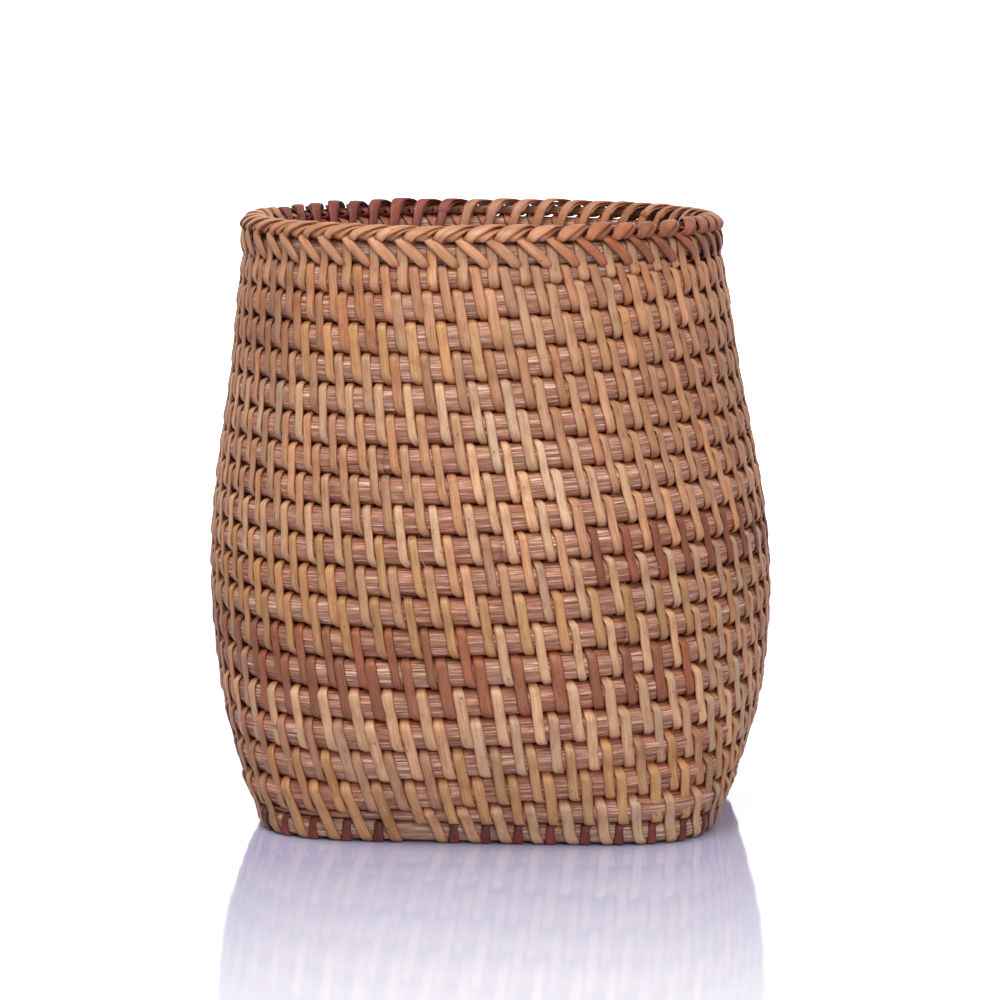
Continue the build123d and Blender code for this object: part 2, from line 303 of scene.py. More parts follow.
def smooth_path(points, times):
    """A path subdivided along a Catmull-Rom curve through its points."""
    p0 = np.roll(points, 1, 0)
    p0[0] = 2 * points[0] - points[1]
    p3 = np.roll(points, -2, 0)
    p2 = np.roll(points, -1, 0)
    p2[-1] = p3[-2] = 2 * points[-1] - points[-2]
    p3[-1] = p2[-1]
    steps = []
    for t in np.arange(times) / times:
        curved = (2 * p0 - 5 * points + 4 * p2 - p3) * t**2
        curved = curved + (3 * points - p0 - 3 * p2 + p3) * t**3
        steps.append(0.5 * (2 * points + (p2 - p0) * t + curved))
    joined = np.stack(steps, 1).reshape(-1, points.shape[1])
    return joined[: len(joined) - times + 1]


# half-round section of a peel strand: across and through, skin side up
PEEL_SECTION = np.array(
    [(-1.0, -0.35), (-0.96, 0.25), (-0.74, 0.74), (-0.36, 0.96), (0.0, 1.0), (0.36, 0.96),
     (0.74, 0.74), (0.96, 0.25), (1.0, -0.35), (0.62, -0.9), (-0.62, -0.9)]
)
# painted shade: a strand is darker along its two edges
EDGE_SHADE = 1 - 0.5 * np.clip(np.abs(PEEL_SECTION[:, 0]) - 0.7, 0, 0.3) / 0.3
PAINTED_SHADE_TONE = np.array([0.6, 1.35, 1.8])  # painted shade goes red-brown rather than grey, in creases, at strand edges and under the plait


def strand_mesh(name, path, normals, widths, tints, randoms, thickness=PEEL_THICK):
    """A strand of peel along a path, with a width, a tint and a seed per path point, and painted
    shade along its two edges.
    """
    along = unit(np.gradient(path, axis=0))
    across = unit(np.cross(along, normals))
    through = np.cross(across, along)
    sideways, outward = PEEL_SECTION.T
    points = (
        path[:, None]
        + across[:, None] * (sideways * widths[:, None] / 2)[..., None]
        + through[:, None] * (outward * thickness / 2)[None, :, None]
    )
    points[..., 2] = np.maximum(points[..., 2], 0)  # nothing below the floor
    shape = points.shape[:2]
    piece = make_mesh(name, points.reshape(-1, 3), tube_faces(*shape, False)[:, ::-1])
    travel = np.concatenate([[0], np.cumsum(np.linalg.norm(np.diff(path, axis=0), axis=1))])
    parts = (sideways, travel[:, None], randoms[:, None])
    grain = np.stack([np.broadcast_to(part, shape) for part in parts], -1)
    colours = np.ones((*shape, 4))
    # the tint, with painted shade along the edges
    colours[..., :3] = tints[:, None] * (EDGE_SHADE[:, None] ** PAINTED_SHADE_TONE)[None]
    add_attribute(piece, "grain", grain.reshape(-1, 3))
    add_attribute(piece, "tint", colours.reshape(-1, 4))
    return piece


# Keys of one stitch: which core (1 upper, 0 lower, 0.5 between), the angle round
# it from its outward side, how far along its leg (0 at the top gap), width, and
# painted shade, darker where the strand turns into the gaps between rows
OUTER_KEYS = [
    (1, 97, 0.0, 0.8, 0.4), (1, 74, 0.03, 0.88, 0.62), (1, 50, 0.12, 0.96, 0.95),
    (1, 24, 0.25, 1.0, 1.0), (0.5, 0, 0.47, 1.0, 1.0), (0, -16, 0.7, 1.0, 1.0),
    (0, -44, 0.88, 1.0, 0.95), (0, -70, 0.97, 0.94, 0.66), (0, -97, 1.0, 0.8, 0.4),
]
INNER_KEYS = [
    (0, -126, 0.02, 0.85, 0.4), (0, -156, 0.18, 1.0, 0.8), (0, -180, 0.36, 1.0, 0.9),
    (0.5, 180, 0.5, 1.0, 0.9), (1, 180, 0.64, 1.0, 0.9), (1, 156, 0.82, 1.0, 0.8),
    (1, 126, 0.98, 0.85, 0.4),
]
CORE_SQUARENESS = 0.86  # below 1 the cores are a little square in section


def round_core(core, degrees, lift):
    """The point at an angle round a core, lifted off it, and its outward normal."""
    centre, side, up, depth, rise = core
    c, s = math.cos(math.radians(degrees)), math.sin(math.radians(degrees))
    cq = math.copysign(abs(c) ** CORE_SQUARENESS, c)
    sq = math.copysign(abs(s) ** CORE_SQUARENESS, s)
    point = centre + side * ((depth + lift) * cq)[:, None] + up * ((rise + lift) * sq)[:, None]
    return point, unit(side * c + up * s)


BRIDGE_DIP = 0.5  # a strand sinks in a little between its two cores


def binding_path(angles, ahead, upper, lower, lean, jitter):
    """The path of a strand that binds two cores, stitch by stitch."""
    reach = np.linalg.norm(upper(angles)[0][:, :2], axis=1)
    half = lean / 2 / reach
    start = angles - half + jitter[:, 0] / reach
    stop = angles + half + jitter[:, 1] / reach
    following = ahead - half + np.append(jitter[1:, 0], jitter[-1, 0]) / reach
    lift = PEEL_OFFSET + jitter[:, 2]
    places, normals = [], []
    for keys, first, last in ((OUTER_KEYS, start, stop), (INNER_KEYS, stop, following)):
        for which, degrees, share, _, _ in keys:
            at = first + (last - first) * share
            pair = [f(at) for f, use in ((lower, which < 1), (upper, which > 0)) if use]
            got = [round_core(core, degrees, lift) for core in pair]
            point = sum(g[0] for g in got) / len(got)
            normal = unit(sum(g[1] for g in got))
            if len(got) == 2:
                point = point - normal * BRIDGE_DIP
            places.append(point)
            normals.append(normal)
    path = np.stack(places, 1).reshape(-1, 3)
    normal = np.stack(normals, 1).reshape(-1, 3)
    return path, normal


ALL_KEYS = OUTER_KEYS + INNER_KEYS
SMOOTHING = 3  # path points for each key
STITCH_JITTER = 0.2
MOST_JITTER = 0.6


def spread_keys(column, count):
    """A value of the keys for every point of a smoothed strand of stitches."""
    values = np.tile([key[column] for key in ALL_KEYS], count)
    return smooth_path(values[:, None], SMOOTHING)[:, 0]


def bind(name, angles, ahead, upper, lower, tints, widths, lean):
    """One row of binding as one strand, with a colour and a width for each stitch."""
    count = len(angles)
    jitter = RNG.normal(0, STITCH_JITTER, (count, 3)) * np.array([1, 1, 0.2])
    jitter = np.clip(jitter, -MOST_JITTER, MOST_JITTER)
    path, normals = binding_path(angles, ahead, upper, lower, lean, jitter)
    path, normals = smooth_path(path, SMOOTHING), unit(smooth_path(normals, SMOOTHING))
    per_stitch = len(ALL_KEYS) * SMOOTHING
    stitch = np.minimum(np.arange(len(path)) // per_stitch, count - 1)
    phase = np.arange(len(path)) / per_stitch
    own = widths * np.clip(RNG.normal(1, 0.05, count), 0.88, 1.12)
    wide = own[stitch] * spread_keys(3, count)
    wide = wide * (1 + 0.035 * value_noise(phase * 3.0, phase * 0 + 5.5, 7))
    # painted shade from the keys, darker where the strand turns into the gaps
    shade = np.clip(spread_keys(4, count), 0.25, 1.0)
    shade = shade[:, None] ** PAINTED_SHADE_TONE
    randoms = RNG.uniform(0, 50, count)[stitch]
    return strand_mesh(name, path, normals, wide, tints[stitch] * shade, randoms)


MEAN_REACH = 90.0  # mm a cane travels for each radian, for its rings and its grain


def core_mesh(name, core, start, end, ring_step, around, seed, closed=False, pale=1.0):
    """A length of rattan core: a tube with long fibre ridges and a rough section, and painted shade
    in its creases.
    """
    rings = int((end - start) * MEAN_REACH / ring_step)
    angles = start + (end - start) * np.arange(rings) / (rings if closed else rings - 1)
    centre, side, up, depth, rise = core(angles)
    j = np.arange(around)
    turn = TURN * j / around
    c, s = np.cos(turn), np.sin(turn)
    cq = np.sign(c) * np.abs(c) ** CORE_SQUARENESS
    sq = np.sign(s) * np.abs(s) ** CORE_SQUARENESS
    travel = angles * MEAN_REACH
    u, t = np.meshgrid(j / around, travel)
    ridges = value_noise(u * 19, t * 0.035, seed, 19) * 0.6  # 19 and 31 round the cane
    ridges = ridges + value_noise(u * 31, t * 0.08, seed + 1, 31) * 0.4
    wave = value_noise(u * 3, t * 0.02, seed + 2, 3)
    swell = 0.13 * ridges + 0.1 * wave
    points = (
        centre[:, None]
        + side[:, None] * (cq[None] * (depth[:, None] + swell))[..., None]
        + up[:, None] * (sq[None] * (rise[:, None] + swell))[..., None]
    )
    piece = make_mesh(name, points.reshape(-1, 3), tube_faces(rings, around, closed))
    grain = np.stack([u, t, ridges], -1).reshape(-1, 3)
    add_attribute(piece, "grain", grain)
    # painted shade: darker in the creases above and below the core, and a little on its inner side;
    # pale lightens a whole ring and weakens its painted crease shade, and wave is the cane's own
    # mottling
    crease = np.clip((np.abs(s) - 0.62) / 0.36, 0, 1) ** 1.4
    inside = np.clip(-c, 0, 1)
    shade = (1 - 0.58 / pale**3 * crease) * (1 - 0.15 * inside) * pale
    shade = shade[None, :, None] * (1 + 0.16 * wave[..., None])
    tint = np.ones((rings, around, 4))
    tint[..., :3] = np.clip(shade, 0.02, 1.6) ** PAINTED_SHADE_TONE
    add_attribute(piece, "tint", tint.reshape(-1, 4))
    return piece


# -------------------------------------------------------------------- materials
def new_material(name):
    """A node material, with its nodes, its links and its main shader's inputs."""
    material = bpy.data.materials.new(name)
    material.use_nodes = True
    nodes = material.node_tree.nodes
    return material, nodes, material.node_tree.links, nodes["Principled BSDF"].inputs


def node(nodes, kind, **values):
    made = nodes.new(kind)
    for key, value in values.items():
        setattr(made, key, value)
    return made


def tone(nodes, links, value, stops):
    """A colour that follows a value through a few stops."""
    made = nodes.new("ShaderNodeValToRGB")
    elements = made.color_ramp.elements
    while len(elements) < len(stops):
        elements.new(0.5)
    for element, (where, colour) in zip(elements, stops):
        element.position = where
        element.color = (*colour, 1)
    links.new(value, made.inputs["Fac"])
    return made.outputs["Color"]


def grain_noise(nodes, links, stretch, detail, rough=0.55):
    """Noise in the strand's own coordinates, stretched along its fibres."""
    grain = node(nodes, "ShaderNodeAttribute", attribute_name="grain")
    scaled = node(nodes, "ShaderNodeVectorMath", operation="MULTIPLY")
    scaled.inputs[1].default_value = stretch
    links.new(grain.outputs["Vector"], scaled.inputs[0])
    made = node(nodes, "ShaderNodeTexNoise")
    made.inputs["Scale"].default_value = 1.0
    made.inputs["Detail"].default_value = detail
    made.inputs["Roughness"].default_value = rough
    links.new(scaled.outputs[0], made.inputs["Vector"])
    return made.outputs["Fac"]


def multiply_colour(nodes, links, colour, by, amount):
    mix = node(nodes, "ShaderNodeMix", data_type="RGBA", blend_type="MULTIPLY")
    mix.inputs["Factor"].default_value = amount
    links.new(colour, mix.inputs["A"])
    links.new(by, mix.inputs["B"])
    return mix.outputs["Result"]


def add_bump(nodes, links, height, strength, distance, normal_input):
    bump = node(nodes, "ShaderNodeBump")
    bump.inputs["Strength"].default_value = strength
    bump.inputs["Distance"].default_value = distance
    links.new(height, bump.inputs["Height"])
    links.new(bump.outputs["Normal"], normal_input)


def peel_material():
    """Glossy outer peel: fine fibres, clouding and a few dark specks over the tint."""
    material, nodes, links, shader = new_material("rattan_peel")
    fibres = grain_noise(nodes, links, (4.5, 0.09, 1.0), 4)
    cloudy = grain_noise(nodes, links, (0.5, 0.16, 1.0), 3)
    specks = grain_noise(nodes, links, (1.6, 0.5, 3.0), 4)
    lines = [(0.3, (0.66, 0.58, 0.52)), (0.5, (0.97, 0.95, 0.93)), (0.68, (1.18, 1.2, 1.24))]
    clouds = [(0.3, (0.74, 0.6, 0.48)), (0.5, (1.0, 0.98, 0.95)), (0.72, (1.14, 1.13, 1.1))]
    dots = [(0.28, (0.2, 0.15, 0.12)), (0.36, (1.0, 1.0, 1.0))]
    colour = node(nodes, "ShaderNodeAttribute", attribute_name="tint").outputs["Color"]
    for value, stops, amount in ((fibres, lines, 0.8), (cloudy, clouds, 0.8), (specks, dots, 0.75)):
        colour = multiply_colour(nodes, links, colour, tone(nodes, links, value, stops), amount)
    links.new(colour, shader["Base Color"])
    gloss = tone(nodes, links, fibres, [(0.3, (0.5, 0.5, 0.5)), (0.7, (0.36, 0.36, 0.36))])
    links.new(gloss, shader["Roughness"])
    fine = grain_noise(nodes, links, (6.5, 0.05, 1.0), 2)
    add_bump(nodes, links, fine, 0.5, 0.00025, shader["Normal"])
    shader["Specular IOR Level"].default_value = 0.45
    return material


def core_material():
    """Bare core: coarse striations from dark brown to pale, darker in the creases with painted
    shade from the tint.
    """
    material, nodes, links, shader = new_material("rattan_core")
    fibres = grain_noise(nodes, links, (58.0, 0.075, 0.6), 4, 0.65)
    cloudy = grain_noise(nodes, links, (3.0, 0.07, 0.3), 3)
    striations = [
        (0.34, (0.12, 0.026, 0.012)), (0.43, (0.33, 0.125, 0.068)), (0.54, (0.47, 0.225, 0.135)),
        (0.63, (0.68, 0.43, 0.31)), (0.72, (0.88, 0.69, 0.58)),
    ]
    clouds = [(0.32, (0.66, 0.58, 0.52)), (0.55, (1.0, 1.0, 1.0)), (0.75, (1.18, 1.2, 1.22))]
    colour = tone(nodes, links, fibres, striations)
    colour = multiply_colour(nodes, links, colour, tone(nodes, links, cloudy, clouds), 0.9)
    tint = node(nodes, "ShaderNodeAttribute", attribute_name="tint").outputs["Color"]
    colour = multiply_colour(nodes, links, colour, tint, 1.0)
    links.new(colour, shader["Base Color"])
    shader["Roughness"].default_value = 0.55
    shader["Specular IOR Level"].default_value = 0.5
    add_bump(nodes, links, fibres, 0.9, 0.0006, shader["Normal"])
    return material


PEEL = peel_material()
CORE = core_material()

# ------------------------------------------------------------ strand colours
TAN = (0.445, 0.232, 0.122)
PALE = (0.5, 0.302, 0.175)
GOLD = (0.42, 0.222, 0.092)
ORANGE = (0.37, 0.172, 0.085)
BROWN = (0.21, 0.06, 0.027)
RUSSET = (0.27, 0.09, 0.038)
DARK = (0.21, 0.048, 0.028)
COMMON_TONES = np.array([TAN, PALE, GOLD, ORANGE])
TONE_ODDS = [0.7, 0.14, 0.1, 0.06]

# Strands that stand out: turn, from and to angle in degrees, colour
MARKED_STRANDS = [
    (6, -85, 2, RUSSET), (5, -52, 42, RUSSET), (9, -75, -12, GOLD), (9, 15, 85, BROWN),
    (8, -75, -30, GOLD), (13, -5, 14, PALE), (12, -8, 20, PALE), (11, 0, 30, PALE),
    (14, -20, 10, PALE), (2, -70, -30, GOLD), (17, -80, -20, ORANGE), (16, -85, -45, ORANGE),
    (7, 100, 170, BROWN), (4, 150, 235, RUSSET), (12, 120, 200, ORANGE), (15, 190, 260, GOLD),
    (10, 200, 268, RUSSET), (2, 190, 250, ORANGE), (17, 95, 150, RUSSET), (14, 130, 180, GOLD),
]
# Width of the wall strands at a turn of the coil
STRAND_WIDTHS = [(0, 3.7), (5, 3.6), (7, 3.3), (9, 3.25), (14, 3.25), (16.5, 3.55), (20, 3.6)]


def stitch_looks(angles):
    """A colour and a width for each wall stitch: strands of some length, each its own."""
    tints = np.zeros((len(angles), 3))
    turns, wide = np.array(STRAND_WIDTHS).T
    widths = np.interp(angles / TURN, turns, wide)
    k = 0
    while k < len(angles):
        run = int(RNG.integers(14, 40))  # stitches in one strand
        colour = COMMON_TONES[RNG.choice(len(COMMON_TONES), p=TONE_ODDS)]
        tints[k : k + run] = colour * RNG.normal(1, 0.05)
        widths[k : k + run] *= np.clip(RNG.normal(1, 0.07), 0.84, 1.12)
        k += run
    for turn, low, high, colour in MARKED_STRANDS:
        start, stop = turn * TURN + math.radians(low), turn * TURN + math.radians(high)
        tints[(angles >= start) & (angles <= stop)] = colour
    shade = RNG.normal(1, 0.08, len(angles))
    warm = RNG.normal(0, 0.04, len(angles))
    tints *= shade[:, None] * np.stack([1 + warm, 1 + 0 * warm, 1 - warm], 1)
    return np.clip(tints, 0.01, 0.95), widths


def arc_speed(angle, height):
    """How far the wall core moves at a height, per radian, in mm."""
    half_width = hermite(WALL_OUTLINE, height) - PEEL_THICK - CORE_DEPTH
    pair = np.array([angle - 0.01, angle + 0.01])
    reach = rounded_square(pair, half_width, corner_power(height))
    points = place(pair, reach, np.full(2, float(height)))
    return np.linalg.norm(points[1] - points[0]) / 0.02


def even_spacing(height):
    """The distance between two stitches at a height, if all were spread evenly."""
    spots = TURN * np.arange(48) / 48
    return sum(arc_speed(a, height) for a in spots) * TURN / 48 / STITCHES_PER_TURN


def stitch_angles():
    """Where the wall stitches cross their upper row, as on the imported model."""
    levels = np.linspace(0, HEIGHT, 60)
    spacing = np.array([even_spacing(level) for level in levels])
    angles, angle = [], COIL_START
    for _ in range(math.ceil(STITCHES_PER_TURN)):
        angle += even_spacing(FOOT_HEIGHT) / arc_speed(angle, FOOT_HEIGHT)
        angles.append(angle)
    count, share = len(angles), 0.5
    while angles[-1] < COIL_END + TURN:
        left, right = angles[-count], angles[1 - count]
        height = float(wall_core((left + right) / 2 + TURN)[0][2])
        gap = (right - left) * arc_speed(left, height)
        share += SPACING_EASE * (np.interp(height, levels, spacing) - gap) / gap
        angles.append(left + (right - left) * share + TURN)
    return np.array(angles[:-1])


def finish_piece(piece, material, slot, *nodes):
    """Give a piece its material, put it under the root body and hide the model's parts that it
    stands for.
    """
    piece.data.materials.append(material)
    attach(piece, "root")
    if nodes:
        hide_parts(*nodes)


# ------------------------------------------------------------------ the basket
def build_cores():
    """The canes: six lengths of wall, the foot and rim rings, the base."""
    full, taper, lengths = math.radians(75), TURNS * TURN + math.radians(-70), 6
    span = (taper - full) / lengths
    cuts = [TIP_START] + [full + span * i for i in range(1, lengths)] + [TIP_END]
    joint = 1e-4  # radians left open at each end of a length

    def wall_cane(angle):
        return wall_core(angle, TIP_START, TIP_END)

    for i in range(lengths):
        start, end = cuts[i] + joint, cuts[i + 1] - joint
        piece = core_mesh(f"wall_cane_{i + 1}", wall_cane, start, end, 1.7, 32, 10 + 3 * i)
        nodes = [f"wall_coil_length_{i + 1}"]
        if i == 0:
            nodes.append("wall_coil_lower_end")
        if i == lengths - 1:
            nodes.append("wall_coil_upper_end")
        finish_piece(piece, CORE, "core", *nodes)
    foot = core_mesh("foot_ring_cane", foot_ring, 0, TURN, 1.7, 28, 51, True, 1.3)
    finish_piece(foot, CORE, "core", "foot_ring_core")
    rim = core_mesh("rim_ring_cane", rim_ring, 0, TURN, 1.7, 28, 61, True, 1.25)
    finish_piece(rim, CORE, "core", "rim_ring_core")
    base = core_mesh("base_cane", base_core, 0, BASE_END * TURN, 3.0, 24, 71)
    finish_piece(base, CORE, "core", "base_coil")


def build_wall_binding(every):
    """A strand for each turn of stitches, from the foot ring up to the rim ring."""
    tints, widths = stitch_looks(every)
    following = np.append(every[1:], 2 * every[-1] - every[-2])
    row, start = 0, COIL_START
    while start < every[-1]:
        row += 1
        mine = (every > start) & (every <= start + TURN)
        lean = np.where(every[mine] > COIL_END, RIM_LEAN, STITCH_LEAN)
        piece = bind(
            f"row_strand_{row:02d}", every[mine], following[mine], wall_core,
            lambda a: wall_core(a - TURN), tints[mine], widths[mine], lean,
        )
        finish_piece(piece, PEEL, "peel", f"row_binding_{row:02d}")
        start += TURN


def flat_tints(count, colour, spread=0.08):
    """One colour for every stitch, a little lighter or darker each time."""
    shade = RNG.normal(1, spread, (count, 1))
    return np.clip(np.array(colour) * shade, 0.01, 0.95)


def foot_from_below(angle):
    """The foot ring with its side facing down, as the base's cores have it."""
    centre, out, up, depth, rise = foot_ring(angle)
    return centre, -up, -out, rise, depth


def build_base_binding(every):
    """The dark strand round the foot ring, and the strands across the base."""
    first = every[every < COIL_START + TURN]
    spots = first + (every[1 : len(first) + 1] - first) * FOOT_PEEL_SHARE
    spots = spots[:-1]
    piece = bind(
        "foot_strand", spots, np.append(spots[1:], spots[0] + TURN),
        lambda a: base_core(a % TURN), foot_from_below,
        flat_tints(len(spots), DARK, 0.14), np.full(len(spots), 3.2), lean=0.2,
    )
    finish_piece(piece, PEEL, "dark_peel", "foot_binding")
    marks = spots[::BASE_STITCH_EVERY]
    ahead = np.append(marks[1:], marks[0] + TURN)
    for turn in range(BASE_BOUND_TURNS):
        share = (1 + 2 * (turn % 3)) / 6
        angles = marks + (ahead - marks) * share + TURN * turn
        piece = bind(
            f"base_strand_{turn + 1}", angles, np.append(angles[1:], angles[0] + TURN),
            lambda a: base_core(a + TURN), base_core, flat_tints(len(angles), TAN),
            np.full(len(angles), 2.9), lean=0.5,
        )
        finish_piece(piece, PEEL, "peel", f"base_binding_{turn + 1}")


# Keys of one link of the plait: how many spaces along the rim, mm out from the rim
# core's middle, mm up from it, the way its skin faces in degrees, width
PLAIT_KEYS = [
    (0.30, 3.5, -4.0, -70, 0.8), (0.22, 4.7, -2.6, -20, 0.9), (0.02, 5.1, -0.5, 0, 0.95),
    (-0.24, 5.0, 1.7, 12, 0.95), (-0.46, 4.5, 3.6, 35, 0.95), (-0.64, 3.2, 5.0, 62, 0.95),
    (-0.80, 0.8, 5.8, 90, 0.9), (-0.88, -1.9, 5.4, 125, 0.85), (-0.84, -3.1, 4.6, 180, 0.8),
    (-0.70, -2.0, 4.2, -110, 0.8), (-0.52, 0.8, 4.3, -90, 0.8), (-0.36, 3.4, 4.4, -70, 0.8),
    (-0.26, 4.9, 4.9, -5, 0.85), (-0.12, 4.7, 6.2, 40, 1.05), (0.12, 3.5, 7.3, 62, 1.2),
    (0.40, 1.7, 8.0, 82, 1.2), (0.68, -0.7, 8.0, 100, 1.05), (0.90, -2.8, 6.6, 140, 1.0),
    (1.04, -4.4, 3.9, 172, 0.95), (1.14, -4.9, 0.6, 180, 0.95), (1.22, -4.6, -2.2, 200, 0.9),
    (1.27, -2.6, -4.1, 255, 0.8),
]
PLAIT_WIDTH = 3.7
PLAIT_THICK = 1.0
CARRIED_STEPS = 400
# The second tier of the plait: a strand wound round the crest under the links
TIER_KEYS = [
    (0.00, 3.9, 4.6, -30, 0.9), (0.12, 4.2, 5.7, 15, 1.0), (0.34, 3.0, 6.9, 55, 1.1),
    (0.58, 0.9, 7.3, 88, 1.15), (0.80, -1.5, 6.9, 112, 1.1), (0.96, -3.6, 5.4, 165, 1.05),
    (0.98, -3.4, 4.4, 210, 0.9), (0.96, -1.4, 4.1, 265, 0.8), (0.98, 1.6, 4.1, 275, 0.8),
]


def plait_colour(degrees, tier):
    """Tan at the front and left, red-brown at the right, darkest at the back left; the links
    painted lighter and the tier under them darker, as painted light and shade.
    """
    share = min(max((degrees - 10) / 18, 0), 1)
    if abs(degrees) > 100:
        share = 0.35
    colour = np.array(TAN) * 0.35 + np.array(ORANGE) * 0.65
    colour = colour * (1 - share) + np.array(RUSSET) * share
    if -178 < degrees < -118:
        colour = np.array(DARK) * 0.85
    # painted light on the links, painted shade on the tier that lies under them
    return colour * (0.95 if tier else 1.15)


def plait_strand(name, keys, every, width, tier):
    """One strand of the plait over the rim core, link after link."""
    top = every[every > COIL_END]
    legs = (top[:-1] + top[1:]) / 2
    count = len(legs)
    numbers = np.arange(-2, count + 2)
    places_at = np.concatenate([legs[-2:] - TURN, legs, legs[:2] + TURN])
    path, normals, wide, tints, randoms = [], [], [], [], []
    for j in range(count):
        wobble = RNG.normal(0, 0.16, 2)
        own_width = width * np.clip(RNG.normal(1, 0.06), 0.88, 1.12)
        degrees = math.degrees(math.remainder(legs[j], TURN))
        raised = 0.5 + 0.7 * max(-math.cos(legs[j]), 0)
        colour = plait_colour(degrees, tier) * RNG.normal(1, 0.1)
        own = RNG.uniform(0, 50)
        for shift, out, up, facing, relative in keys:
            angle = np.interp(j + shift, numbers, places_at)
            centre, side, rise, _, _ = rim_ring(np.array([angle]))
            high = up + (wobble[1] + raised) * max(up - 4, 0) / 4
            f = math.radians(facing)
            path.append(centre[0] + side[0] * (out + wobble[0]) + rise[0] * high)
            normals.append(side[0] * math.cos(f) + rise[0] * math.sin(f))
            wide.append(own_width * relative)
            # painted shade, half as bright, where a strand lies low: at the tier's level under the
            # crest and below the rim core
            under = 0.5 if 4.0 <= up <= 4.7 or up < -3 else 1.0
            tints.append(colour * under**PAINTED_SHADE_TONE)
            randoms.append(own)
    path = smooth_path(np.array(path), SMOOTHING)
    normals = unit(smooth_path(np.array(normals), SMOOTHING))
    wide = smooth_path(np.array(wide)[:, None], SMOOTHING)[:, 0]
    tints = np.clip(smooth_path(np.array(tints), SMOOTHING), 0.01, 0.95)
    randoms = np.repeat(randoms, SMOOTHING)[: len(path)]
    return strand_mesh(name, path, normals, wide, tints, randoms, PLAIT_THICK)


def build_plait(every):
    """The rim: links over a second tier, and the strand's end carried inside them."""
    angles = np.linspace(0, TURN, CARRIED_STEPS)
    centre, side, rise, _, _ = rim_ring(angles)
    degrees = [math.degrees(math.remainder(a, TURN)) for a in angles]
    # painted shade: the carried end, inside the links, is the tier's colour made darker
    tints = np.array([plait_colour(d, True) for d in degrees]) * 0.7
    same = np.full(CARRIED_STEPS, 3.0)  # its width in mm, and its seed
    carried = strand_mesh("rim_plait_carried_end", centre + rise * 5.7, side, same, tints, same)
    finish_piece(carried, PEEL, "peel")
    outer = plait_strand("rim_plait_links", PLAIT_KEYS, every, PLAIT_WIDTH, False)
    finish_piece(outer, PEEL, "peel", "rim_legs", "rim_plait_upper")
    tier = plait_strand("rim_plait_tier", TIER_KEYS, every, PLAIT_WIDTH * 1.15, True)
    finish_piece(tier, PEEL, "peel", "rim_plait_lower")


FIBRES = 110


def build_fibres():
    """Fine splinters of core and peel that stand off the rows."""
    points, faces, grain, tint = [], [], [], []
    steps, around = 9, 4
    t = np.linspace(0, 1, steps)[:, None]
    turn = TURN * np.arange(around)[:, None] / around
    for number in range(FIBRES):
        angle = RNG.uniform(0.4, TURNS * TURN)
        degrees = RNG.uniform(-60, 60)
        core = wall_core(np.array([angle]))
        base, normal = (found[0] for found in round_core(core, degrees, 0.05))
        lift = core[2][0]
        along = unit(np.cross(normal, lift))
        length, bend = RNG.uniform(2.0, 6.5), RNG.uniform(0.3, 1.3)
        heading = RNG.uniform(-0.9, 0.9)
        way = along * math.cos(heading) * RNG.choice([-1, 1]) + lift * math.sin(heading)
        thick = RNG.uniform(0.07, 0.15)
        curl = RNG.normal(0, 0.8)
        centre = base + way * length * t + normal * bend * t * (1.3 - t) * 2 + lift * curl * t * t
        ring = lift * np.cos(turn) + normal * np.sin(turn)
        points.append((centre[:, None] + ring * (thick * (1 - 0.8 * t))[..., None]).reshape(-1, 3))
        faces.append(tube_faces(steps, around, False) + number * steps * around)
        own = np.zeros((steps * around, 3))
        own[:, 1], own[:, 2] = np.repeat(t[:, 0] * length, around), angle
        grain.append(own)
        pale = np.array([0.42, 0.26, 0.19]) * RNG.uniform(0.8, 1.5)
        tint.append(np.tile([*pale, 1.0], (steps * around, 1)))
    piece = make_mesh("loose_fibres", np.concatenate(points), np.concatenate(faces))
    add_attribute(piece, "grain", np.concatenate(grain))
    add_attribute(piece, "tint", np.clip(np.concatenate(tint), 0, 0.95))
    finish_piece(piece, PEEL, "peel")


STITCHES = stitch_angles()
build_cores()
build_wall_binding(STITCHES)
build_base_binding(STITCHES)
build_plait(STITCHES)
build_fibres()


# ------------------------------------------------------- floor, light, camera
def flat_panel(name, corners, material):
    """A single flat face of the set, which isn't part of the basket."""
    mesh = bpy.data.meshes.new(name)
    mesh.from_pydata(corners, [], [(0, 1, 2, 3)])
    panel = bpy.data.objects.new(name, mesh)
    bpy.context.scene.collection.objects.link(panel)
    mesh.materials.append(material)


def softbox(name, place_at, aim, size, power):
    """A square area light, its size in metres and its power in watts."""
    light = bpy.data.lights.new(name, "AREA")
    light.energy = power
    light.size = size
    made = bpy.data.objects.new(name, light)
    made.location = place_at
    made.rotation_euler = (Vector(aim) - Vector(place_at)).to_track_quat("-Z", "Y").to_euler()
    bpy.context.scene.collection.objects.link(made)


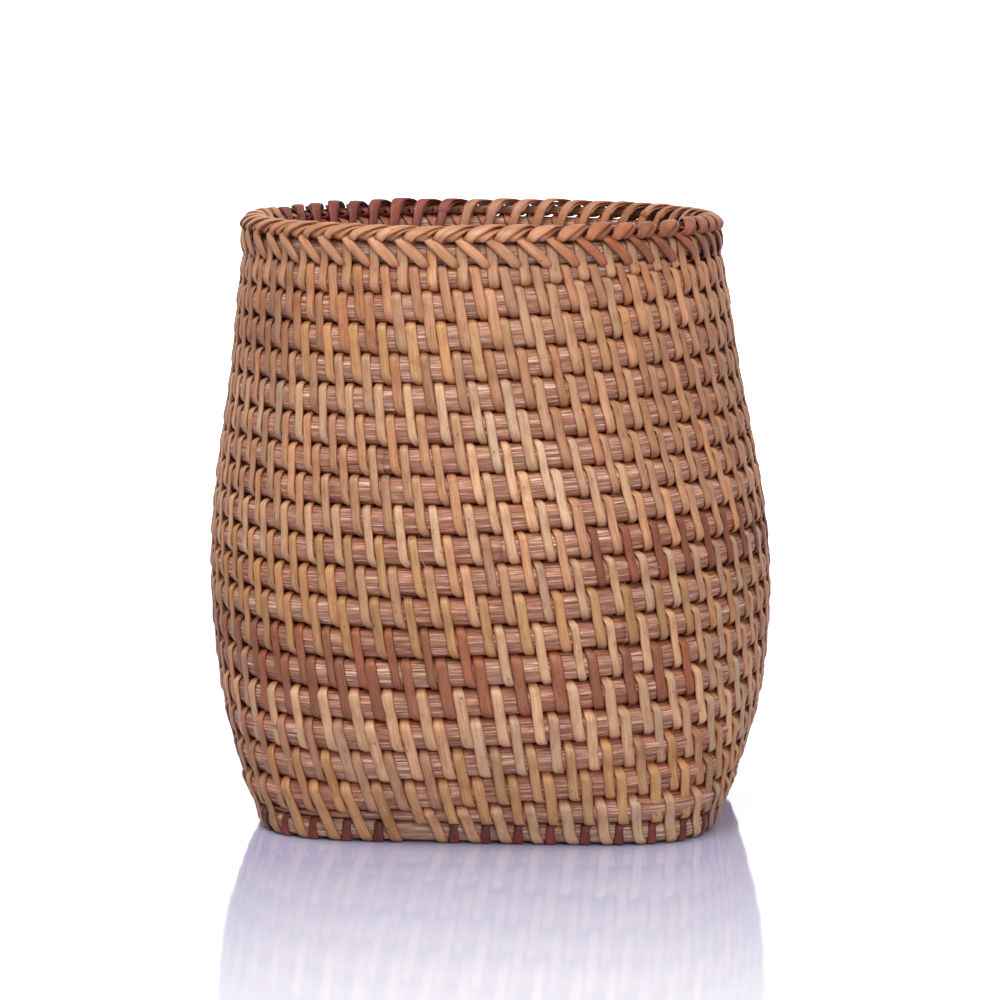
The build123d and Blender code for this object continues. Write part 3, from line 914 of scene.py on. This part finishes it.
def build_stage():
    """A pale glossy floor with a painted shadow near the basket, a white card behind, a white world
    and two softboxes.
    """
    material, nodes, links, shader = new_material("pale_floor")
    where = node(nodes, "ShaderNodeNewGeometry")
    split = node(nodes, "ShaderNodeSeparateXYZ")
    links.new(where.outputs["Position"], split.inputs[0])
    ahead = node(nodes, "ShaderNodeMapRange")
    ahead.inputs["From Min"].default_value = -0.085
    ahead.inputs["From Max"].default_value = -0.265
    links.new(split.outputs["Y"], ahead.inputs["Value"])
    # painted shadow: the floor is darker and bluer near the basket, paler further forward
    floor_shadow_fade = [(0.0, (0.47, 0.465, 0.635)), (0.45, (0.6, 0.62, 0.78)), (1.0, (0.8, 0.82, 0.92))]
    links.new(tone(nodes, links, ahead.outputs["Result"], floor_shadow_fade), shader["Base Color"])
    shader["Roughness"].default_value = 0.07
    shader["IOR"].default_value = 1.9
    flat_panel("floor", [(-6, -6, 0), (6, -6, 0), (6, 6, 0), (-6, 6, 0)], material)

    glow, _, _, shader = new_material("white_card")
    shader["Base Color"].default_value = (0.9, 0.9, 0.9, 1)
    shader["Emission Color"].default_value = (1, 1, 1, 1)
    shader["Emission Strength"].default_value = 1.3
    card = [(-0.45, 0.8, 0), (0.45, 0.8, 0), (0.45, 0.8, 0.42), (-0.45, 0.8, 0.42)]
    flat_panel("white_card", card, glow)

    # white to the camera, softer as a light
    world = bpy.data.worlds.new("studio")
    world.use_nodes = True
    nodes, links = world.node_tree.nodes, world.node_tree.links
    seen, soft = nodes["Background"], nodes.new("ShaderNodeBackground")
    for background, strength in ((seen, 1.0), (soft, 0.6)):
        background.inputs["Color"].default_value = (1, 1, 1, 1)
        background.inputs["Strength"].default_value = strength
    path = nodes.new("ShaderNodeLightPath")
    mix = nodes.new("ShaderNodeMixShader")
    links.new(path.outputs["Is Camera Ray"], mix.inputs["Fac"])
    links.new(soft.outputs["Background"], mix.inputs[1])
    links.new(seen.outputs["Background"], mix.inputs[2])
    links.new(mix.outputs["Shader"], nodes["World Output"].inputs["Surface"])
    bpy.context.scene.world = world

    softbox("top_softbox", (-0.25, -0.45, 1.25), (0, 0, 0.1), 0.8, 13)
    softbox("front_softbox", (0.5, -1.55, 0.75), (0, 0, 0.1), 0.8, 11)


def build_camera():
    """A long lens, a little above the rim, which looks slightly down."""
    distance = 1298.8 * MM
    camera_height = 270.8 * MM
    drop = math.tan(math.radians(7.4346)) * distance
    aim = Vector((3.0 * MM, 0, camera_height - drop))
    camera = bpy.data.cameras.new("camera")
    camera.lens = 140.5
    camera.sensor_width = 36
    camera.clip_end = 50
    made = bpy.data.objects.new("camera", camera)
    made.location = (-0.3 * MM, -distance, camera_height)
    made.rotation_euler = (aim - made.location).to_track_quat("-Z", "Y").to_euler()
    bpy.context.scene.collection.objects.link(made)
    bpy.context.scene.camera = made


build_stage()
build_camera()
bpy.context.scene.view_settings.view_transform = "Standard"
